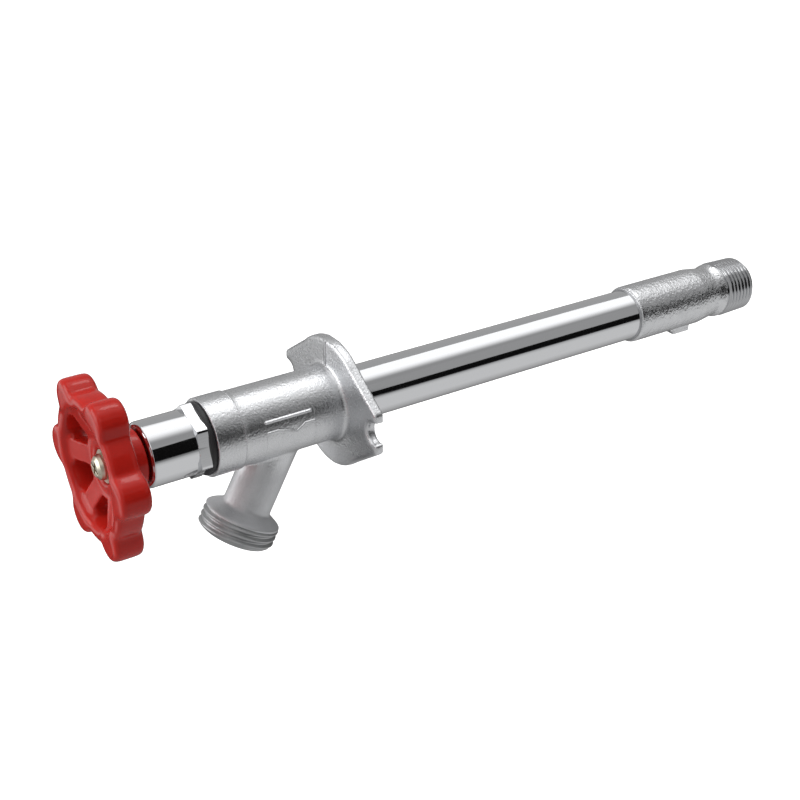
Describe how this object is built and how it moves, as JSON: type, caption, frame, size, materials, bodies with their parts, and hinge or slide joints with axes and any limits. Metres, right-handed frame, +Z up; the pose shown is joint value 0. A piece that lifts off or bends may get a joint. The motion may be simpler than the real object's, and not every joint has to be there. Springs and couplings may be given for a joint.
{
  "type": "frost free sillcock",
  "caption": "Frost free outdoor wall tap: dished red handwheel, notched wall flange, slanting threaded spout and a long barrel to a threaded inlet; the wheel screws the stem in and out.",
  "frame": {"origin": "on the tap's axis, in the plane of the wall face of the flange", "axes": "+Y along the barrel into the wall, +Z up, +X to the right for someone who faces the wall; the spout points down and out from the wall"},
  "size_m": [0.0596, 0.2776, 0.0737],
  "materials": {
    "plated_casting": "plated brass casting, grainy from the sand mould",
    "chrome_plate": "polished chrome plate",
    "black_fibre": "matt pressed fibre",
    "white_packing": "waxy white packing",
    "turned_brass": "turned brass",
    "soft_solder": "dull silver solder",
    "drawn_rod": "drawn stainless rod",
    "white_plastic": "satin moulded plastic",
    "red_enamel": "glossy red enamel on cast metal",
    "zinc_plate": "yellowish zinc plate",
    "black_rubber": "matt black rubber"
  },
  "bodies": {
    "housing": {"valve_body": "plated_casting", "bonnet": "chrome_plate", "bonnet_gasket": "black_fibre", "packing_rings": "white_packing", "packing_washer": "turned_brass", "stem_nut": "turned_brass", "barrel_tube": "chrome_plate", "solder_fillets": "soft_solder", "inlet_fitting": "plated_casting"},
    "seat_disc": {"seat_carrier": "turned_brass", "swivel_nut": "turned_brass", "seat_washer": "black_rubber", "washer_screw": "turned_brass"},
    "stem": {"spindle": "turned_brass", "operating_rod": "drawn_rod", "rod_pin": "drawn_rod", "rod_guide": "white_plastic", "handwheel": "red_enamel", "handle_washer": "zinc_plate", "handle_screw": "zinc_plate"}
  },
  "joints": [
    {"name": "stem_travel", "type": "slide", "parent": "housing", "child": "seat_disc", "axis": [0, -1, 0], "range_m": [0, 0.00953]},
    {"name": "handle_turn", "type": "hinge", "parent": "seat_disc", "child": "stem", "pos_m": [0, 0, 0], "axis": [0, -1, 0], "range_deg": [0, 1080]}
  ],
  "couplings": [
    {"joint": "stem_travel", "follows": "handle_turn", "m_per_rad": 0.00050532}
  ]
}
